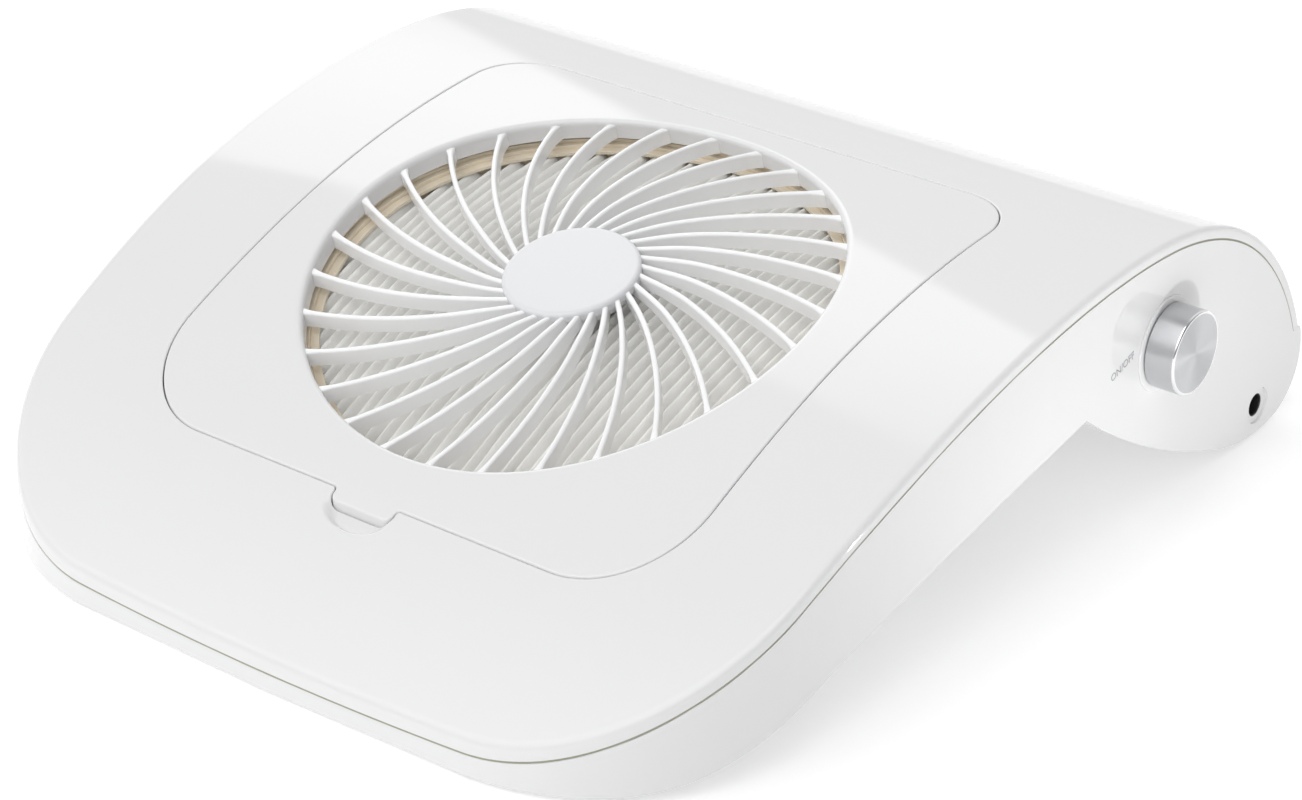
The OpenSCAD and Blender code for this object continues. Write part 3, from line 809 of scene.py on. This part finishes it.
def build_pleats(materials):
    """Pleated paper: rounded folds that run from front to back over the curved top."""
    radius, pitch, ridge, height = 61.2, 3.0, 8.6, 4.0
    work = bmesh.new()
    samples, rows = 12, 60
    count = int(2 * radius / pitch * samples)
    lines = []
    for i in range(count + 1):
        x = -radius + 0.02 + (2 * radius - 0.04) * i / count
        phase = x / pitch
        tri = abs(2 * (phase - math.floor(phase + 0.5)))
        fold = (1 - math.cos(math.pi * tri)) / 2 * 0.45 + tri * 0.55
        reach = math.sqrt(max(radius * radius - x * x, 0.01))
        fold_no = math.floor(phase + 0.5)
        row = []
        for j in range(rows + 1):
            v = reach * (-1 + 2 * j / rows)
            sway = 0.12 * math.sin(v * 0.11 + fold_no * 2.3) + 0.05 * math.sin(v * 0.43 + fold_no)
            crest = 0.14 * math.sin(v * 0.2 + fold_no * 1.7)
            depth = ridge + 0.15 + height * fold + crest * (1 - fold)
            lean = sway * (1 - fold)
            row.append(work.verts.new(tuple(put(untilt(x + lean, v, drum(v, depth))))))
        lines.append(row)
    for a, b in zip(lines, lines[1:]):
        for j in range(rows):
            work.faces.new((a[j], b[j], b[j + 1], a[j + 1])).smooth = True
    mesh = bpy.data.meshes.new("filter_pleats")
    bmesh.ops.recalc_face_normals(work, faces=work.faces)
    work.to_mesh(mesh)
    work.free()
    thing = bpy.data.objects.new("filter_pleats", mesh)
    bpy.context.scene.collection.objects.link(thing)
    for material in materials:
        mesh.materials.append(material)
    solid = thing.modifiers.new("thickness", "SOLIDIFY")
    solid.thickness = 0.0004
    solid.offset = 0
    return thing


def build_seam(materials):
    """The soft strip in the seam, seen as a fine olive line."""
    shape = Shape()
    sections = []
    high, low = COVER + 0.02, COVER + SEAM - 0.02
    for st in STATIONS:
        sections.append([
            (skin_point(st, 0.16, high), skin_point(st, 0.16, low)),
            (skin_point(st, 0.16, low), skin_point(st, 1.6, low)),
            (skin_point(st, 1.6, low), skin_point(st, 1.6, high)),
            (skin_point(st, 1.6, high), skin_point(st, 0.16, high)),
        ])
    shape.sweep(both_sides(sections))
    for section, sign in ((sections[-1], 1), (sections[-1], -1)):
        m = np.array([sign, 1, 1])
        shape.flat([np.asarray(run[0]) * m for run in section])
    return shape.object("seam_strip", materials)


# ---------- knob ----------
def on_knob_axis(across, up, out):
    return np.array([out, KNOB_Y + across, KNOB_Z + up])


def on_inlet_axis(across, up, out):
    return np.array([out, JACK_Y + across, JACK_Z + up])


def build_knob(side, polish, face):
    """The turned knob: its side, polished rim and spun face have finishes of their own."""
    shape = Shape()
    low, r, h = KNOB_FOOT, KNOB_RADIUS, KNOB_LENGTH
    place = on_knob_axis
    shape.mark = 0
    lathe(shape, [((6.7, low + 2.6), (6.7, low)), ((6.7, low), (r - 0.25, low)),
                  ((r - 0.25, low), (r, low), (r, low + 0.25)),
                  ((r, low + 0.25), (r, low + h - 0.55))], place, 160)
    shape.mark = 1
    lathe(shape, [((r, low + h - 0.55), (r - 0.04, low + h - 0.06), (r - 0.5, low + h)),
                  ((r - 0.5, low + h), (r - 0.62, low + h), (r - 0.7, low + h - 0.05))], place, 160)
    shape.mark = 2
    lathe(shape, [((r - 0.7, low + h - 0.05), (0.01, low + h - 0.05))], place, 160)
    shape.mark = 0
    lathe(shape, [((0.01, low + 2.6), (6.7, low + 2.6))], place, 160)
    return shape.object("power_knob_cap", [side, polish, face])


def build_liner(materials):
    """The dark sleeve of the power inlet, seen inside its hole."""
    shape = Shape()
    x = END_X
    lathe(shape, [((2.86, x - 2.5), (2.86, x - 0.95)), ((2.86, x - 0.95), (2.72, x - 0.75)),
                  ((2.72, x - 0.75), (2.55, x - 1.0)), ((2.55, x - 1.0), (2.55, x - 2.5)),
                  ((2.55, x - 2.5), (2.86, x - 2.5))],
          on_inlet_axis, 64)
    return shape.object("inlet_sleeve", materials)


def build_seat(materials):
    """The raised ring behind the knob, rounded over at its rim."""
    shape = Shape()
    r, bore, rounding = SEAT_RADIUS, 3.6, 0.3
    low, high = END_X + 0.02, END_X + SEAT_THICK
    lathe(shape, [((bore, low), (bore, high)), ((bore, high), (r - rounding, high)),
                  ((r - rounding, high), (r, high), (r, high - rounding)),
                  ((r, high - rounding), (r, low)), ((r, low), (bore, low))],
          on_knob_axis, 128)
    return shape.object("knob_seat_ring", materials)


# Middle of the label on the end wall, its slope in degrees and its size in metres
LABEL_Y = 59.1
LABEL_Z = -15.2
LABEL_LIFT = 15
LABEL_SIZE = 0.0027


def build_label(materials):
    """Small printed words beside the knob."""
    words = bpy.data.curves.new("label_words", "FONT")
    words.body = "ON/OFF"
    words.size = LABEL_SIZE
    words.align_x = "CENTER"
    words.align_y = "CENTER"
    words.extrude = 0.00003
    holder = bpy.data.objects.new("label_holder", words)
    bpy.context.scene.collection.objects.link(holder)
    bpy.context.view_layer.update()
    flat = bpy.data.meshes.new_from_object(holder)
    bpy.data.objects.remove(holder)
    lift = math.radians(LABEL_LIFT)
    for vertex in flat.vertices:
        a, b, c = vertex.co * 1000
        y = LABEL_Y + a * math.cos(lift) - b * math.sin(lift)
        z = LABEL_Z + a * math.sin(lift) + b * math.cos(lift)
        vertex.co = put([END_X + 0.02 + c, y, z])
    flat.materials.clear()
    for material in materials:
        flat.materials.append(material)
    thing = bpy.data.objects.new("switch_label", flat)
    bpy.context.scene.collection.objects.link(thing)
    return thing


# ---------- materials ----------
def material(name, colour, rough, grain=600.0, bump=0.02, tint=0.03, metal=0.0, **sockets):
    """A surface with fine variation in colour, roughness and height."""
    made = bpy.data.materials.new(name)
    made.use_nodes = True
    nodes, links = made.node_tree.nodes, made.node_tree.links
    shader = nodes["Principled BSDF"]
    where = nodes.new("ShaderNodeTexCoord")
    fine = nodes.new("ShaderNodeTexNoise")
    fine.inputs["Scale"].default_value = grain
    fine.inputs["Detail"].default_value = 4
    broad = nodes.new("ShaderNodeTexNoise")
    broad.inputs["Scale"].default_value = grain / 14
    broad.inputs["Detail"].default_value = 3
    links.new(where.outputs["Object"], fine.inputs["Vector"])
    links.new(where.outputs["Object"], broad.inputs["Vector"])
    dark = [c * (1 - tint) for c in colour]
    shade = nodes.new("ShaderNodeMix")
    shade.data_type = "RGBA"
    shade.inputs["A"].default_value = (*dark, 1)
    shade.inputs["B"].default_value = (*colour, 1)
    links.new(broad.outputs["Fac"], shade.inputs["Factor"])
    links.new(shade.outputs["Result"], shader.inputs["Base Color"])
    spread = nodes.new("ShaderNodeMapRange")
    spread.inputs["To Min"].default_value = rough * 0.85
    spread.inputs["To Max"].default_value = min(1.0, rough * 1.15)
    links.new(broad.outputs["Fac"], spread.inputs["Value"])
    links.new(spread.outputs["Result"], shader.inputs["Roughness"])
    height = nodes.new("ShaderNodeBump")
    height.inputs["Strength"].default_value = bump
    height.inputs["Distance"].default_value = 0.0002
    links.new(fine.outputs["Fac"], height.inputs["Height"])
    links.new(height.outputs["Normal"], shader.inputs["Normal"])
    shader.inputs["Metallic"].default_value = metal
    for socket, value in sockets.items():
        shader.inputs[socket.replace("_", " ")].default_value = value
    return made


def spun_metal(name, colour, rough, axis="X"):
    """Aluminium with turning lines round the axis."""
    made = material(name, colour, rough, grain=900, bump=0.01, tint=0.04, metal=1.0)
    nodes, links = made.node_tree.nodes, made.node_tree.links
    shader = nodes["Principled BSDF"]
    shader.inputs["Anisotropic"].default_value = 0.88
    shader.inputs["Anisotropic Rotation"].default_value = 0.25
    tangent = nodes.new("ShaderNodeTangent")
    tangent.direction_type = "RADIAL"
    tangent.axis = axis
    links.new(tangent.outputs["Tangent"], shader.inputs["Tangent"])
    return made


gloss_white = material("gloss_white", (0.80, 0.80, 0.805), 0.045, grain=700, bump=0.002, tint=0.008)
# The vanes' material is the gloss white plastic made lighter than gloss_white: painted light that lifts
# the vane faces out of the shade in the deep grille.
vane_white_painted_light = material("vane_white_painted_light", (0.95, 0.95, 0.955), 0.12, grain=700, bump=0.004, tint=0.01)
cap_white = material("cap_white", (0.76, 0.765, 0.785), 0.24, grain=900, bump=0.006, tint=0.01)
tray_white = material("tray_white", (0.66, 0.66, 0.65), 0.42, bump=0.05)
black_plastic = material("black_plastic", (0.018, 0.018, 0.019), 0.42, bump=0.08, tint=0.2)
seam_olive = material("seam_olive", (0.36, 0.36, 0.27), 0.62, bump=0.1, tint=0.12)
foam = material("foam_rubber", (0.030, 0.030, 0.031), 0.9, grain=1400, bump=0.6, tint=0.3)
card = material("card_tan", (0.90, 0.80, 0.64), 0.82, grain=1100, bump=0.35, tint=0.22)
paper = material("filter_paper", (0.93, 0.925, 0.90), 0.92, grain=1500, bump=0.5, tint=0.10)
steel = material("steel", (0.56, 0.56, 0.57), 0.28, bump=0.06, metal=1.0)
magnet = material("magnet", (0.06, 0.06, 0.065), 0.5, bump=0.2, tint=0.2)
bronze = material("bearing_bronze", (0.52, 0.33, 0.15), 0.34, bump=0.06, metal=1.0)
copper = material("copper_wire", (0.66, 0.26, 0.12), 0.3, grain=1600, bump=0.3, metal=1.0)
board = material("circuit_board", (0.02, 0.16, 0.07), 0.36, bump=0.05, tint=0.2)
component = material("component_black", (0.022, 0.022, 0.024), 0.38, bump=0.05, tint=0.2)
zinc = material("pot_case", (0.5, 0.5, 0.48), 0.36, bump=0.08, metal=1.0)
wire_cover = material("wire_insulation", (0.03, 0.03, 0.032), 0.45, bump=0.08, tint=0.2)
print_grey = material("print_grey", (0.34, 0.35, 0.36), 0.5, bump=0.02)
knob_side = spun_metal("knob_side", (0.62, 0.625, 0.64), 0.30)
knob_face = spun_metal("knob_face", (0.57, 0.575, 0.59), 0.32)
knob_polish = material("knob_polish", (0.86, 0.86, 0.87), 0.09, bump=0.01, metal=1.0)


WELD_DISTANCE = 0.00001
SMOOTH_UP_TO = math.radians(22)


def dress(name, finish):
    """Gives a CAD part its finish, and smooths the strips of its curved faces."""
    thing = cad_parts[name]
    for entry in thing.material_slots:
        entry.material = finish
    weld = thing.modifiers.new("weld", "WELD")
    weld.merge_threshold = WELD_DISTANCE
    split = thing.modifiers.new("split", "EDGE_SPLIT")
    split.split_angle = SMOOTH_UP_TO
    even = thing.modifiers.new("even", "WEIGHTED_NORMAL")
    even.mode = "FACE_AREA"
    even.weight = 50


FINISHES = {
    "lower_housing": gloss_white, "filter_tray": tray_white, "filter_gasket": foam,
    "fan_frame": black_plastic, "fan_impeller": black_plastic, "fan_screws": steel,
    "fan_magnet": magnet, "fan_shaft": steel, "fan_bearings": bronze, "fan_core": steel,
    "fan_coils": copper, "fan_board": board, "control_board": board, "board_parts": component,
    "board_screws": steel, "pot_body": zinc, "pot_shaft": steel, "pot_nut": steel,
    "jack_body": black_plastic, "jack_pin": steel, "fan_lead": wire_cover, "jack_lead": wire_cover,
    "housing_screws": steel, "feet": foam,
}
for name, finish in FINISHES.items():
    dress(name, finish)


def install(piece, body, slot, *nodes):
    """Rides a piece on its body, in the place of the CAD nodes it stands for."""
    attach(piece, body)
    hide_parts(*nodes)


install(build_cover([gloss_white]), "housing", "gloss_white", "top_cover")
install(build_lid([gloss_white]), "lid", "gloss_white", "grille_panel")
install(build_hooks([gloss_white]), "lid", "gloss_white", "grille_panel")
install(build_vanes([vane_white_painted_light]), "lid", "gloss_white", "grille_panel")
install(build_boss([gloss_white]), "lid", "gloss_white", "grille_panel")
install(build_cap([cap_white]), "lid", "gloss_white", "centre_cap")
install(build_seam([seam_olive]), "housing", "seam_rubber", "seam_gasket")
install(build_filter_ring([card]), "housing", "cardboard", "filter_frame")
install(build_pleats([paper]), "housing", "filter_paper", "filter_media")
install(build_knob(knob_side, knob_polish, knob_face), "power_knob", "aluminium_knob", "knob")
install(build_seat([gloss_white]), "housing", "gloss_white", "knob_seat")
liner = build_liner([black_plastic])
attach(liner, "housing")
label = build_label([print_grey])
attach(label, "housing")

# ---------- floor, light and camera ----------
FLOOR_REACH = 6.0
FLOOR_GLOW = 0.28
floor_corners = [(x * FLOOR_REACH, y * FLOOR_REACH, 0) for x, y in ((-1, -1), (1, -1), (1, 1), (-1, 1))]
floor_mesh = bpy.data.meshes.new("floor")
floor_mesh.from_pydata(floor_corners, [], [(0, 1, 2, 3)])
floor = bpy.data.objects.new("floor", floor_mesh)
bpy.context.scene.collection.objects.link(floor)
floor_look = material("floor_pale", (0.86, 0.86, 0.86), 0.8, grain=40, bump=0.0, tint=0.0)
floor_shader = floor_look.node_tree.nodes["Principled BSDF"]
floor_shader.inputs["Emission Color"].default_value = (1, 1, 1, 1)
floor_shader.inputs["Emission Strength"].default_value = FLOOR_GLOW
floor_mesh.materials.append(floor_look)

# The studio: soft even light, dimmer from the right, more light from above the front, and
# one tall panel behind on the left. Directions are azimuth from the front, positive to the
# right, and elevation, in degrees.
BASE_LIGHT = 0.45
FRONT_LIGHT = 1.56
PANEL_LIGHT = 1.48
REAR_LIGHT = 0.40
SIDE_SHADE = 0.35
world = bpy.data.worlds.new("studio")
world.use_nodes = True
sky = world.node_tree
back = sky.nodes["Background"]


def node_value(value, socket):
    """Sets a socket to a number, or links it to another node's output."""
    if isinstance(value, (int, float)):
        socket.default_value = value
    else:
        sky.links.new(value, socket)


def calc(operation, *values):
    """One step of arithmetic on the light's direction."""
    node = sky.nodes.new("ShaderNodeMath")
    node.operation = operation
    for value, socket in zip(values, node.inputs):
        node_value(value, socket)
    return node.outputs["Value"]


def ramp(value, low, high, first=0.0, second=1.0):
    """Goes smoothly from first to second as value goes from low to high."""
    node = sky.nodes.new("ShaderNodeMapRange")
    node.interpolation_type = "SMOOTHSTEP"
    node_value(value, node.inputs["Value"])
    for socket, number in (("From Min", low), ("From Max", high), ("To Min", first), ("To Max", second)):
        node.inputs[socket].default_value = number
    return node.outputs["Result"]


way = sky.nodes.new("ShaderNodeTexCoord")
parts = sky.nodes.new("ShaderNodeSeparateXYZ")
sky.links.new(way.outputs["Generated"], parts.inputs["Vector"])
high = calc("DEGREES", calc("ARCSINE", parts.outputs["Z"]))
forward = calc("MULTIPLY", parts.outputs["Y"], -1.0)
round_about = calc("DEGREES", calc("ARCTAN2", parts.outputs["X"], forward))

# the panel fades out upwards, but near its right edge it ends in a hard line
panel = calc("MULTIPLY", ramp(round_about, -141.6, -140.2), ramp(round_about, -119, -110, 1.0, 0.0))
panel = calc("MULTIPLY", panel, ramp(high, 6, 34, 0.2, 1.0))
tall = ramp(high, 44, 66, 1.0, 0.0)
short = ramp(high, 43.2, 44.2, 1.0, 0.0)
right_edge = ramp(round_about, -122.5, -118.5)
soft_part = calc("MULTIPLY", tall, calc("SUBTRACT", 1.0, right_edge))
hard_part = calc("MULTIPLY", short, right_edge)
panel = calc("MULTIPLY", panel, calc("ADD", soft_part, hard_part))
panel = calc("MULTIPLY", panel, PANEL_LIGHT)

front = calc("MULTIPLY", ramp(round_about, -90, -45), ramp(round_about, 35, 85, 1.0, 0.0))
front = calc("MULTIPLY", calc("MULTIPLY", front, ramp(high, 12, 40)), FRONT_LIGHT)
rear = calc("MULTIPLY", ramp(parts.outputs["Y"], 0.1, 0.5), REAR_LIGHT)
side = ramp(parts.outputs["X"], 0.25, 0.75, 1.0, SIDE_SHADE)
even_light = calc("MULTIPLY", calc("ADD", rear, BASE_LIGHT), side)
node_value(calc("ADD", calc("ADD", panel, front), even_light), back.inputs["Strength"])
back.inputs["Color"].default_value = (1, 1, 1, 1)
bpy.context.scene.world = world

# A small lamp low on the right throws the knob's shadow up and back over the end wall.
KNOB_LAMP = (END_X + 104, KNOB_Y - 50, KNOB_Z - 33)
lamp = bpy.data.lights.new("knob_lamp", "AREA")
lamp.size = 0.008
lamp.energy = 0.038
knob_lamp = bpy.data.objects.new("knob_lamp", lamp)
knob_lamp.location = put(KNOB_LAMP)
toward = Vector(put((END_X, KNOB_Y, KNOB_Z)) - put(KNOB_LAMP))
knob_lamp.rotation_euler = toward.to_track_quat("-Z", "Y").to_euler()
bpy.context.scene.collection.objects.link(knob_lamp)

CAMERA_AZIMUTH = 37.84
CAMERA_ELEVATION = 27.85
CAMERA_PLACE = (0.4667, -0.5960, 0.4193)
CAMERA_LENS = 101.9
lens = bpy.data.cameras.new("camera")
lens.sensor_width = 36
lens.lens = CAMERA_LENS
camera = bpy.data.objects.new("camera", lens)
azimuth, elevation = math.radians(CAMERA_AZIMUTH), math.radians(CAMERA_ELEVATION)
look = Vector((-math.sin(azimuth) * math.cos(elevation),
               math.cos(azimuth) * math.cos(elevation), -math.sin(elevation)))
camera.location = CAMERA_PLACE
camera.rotation_euler = look.to_track_quat("-Z", "Y").to_euler()
bpy.context.scene.collection.objects.link(camera)
bpy.context.scene.camera = camera
bpy.context.scene.view_settings.view_transform = "Standard"
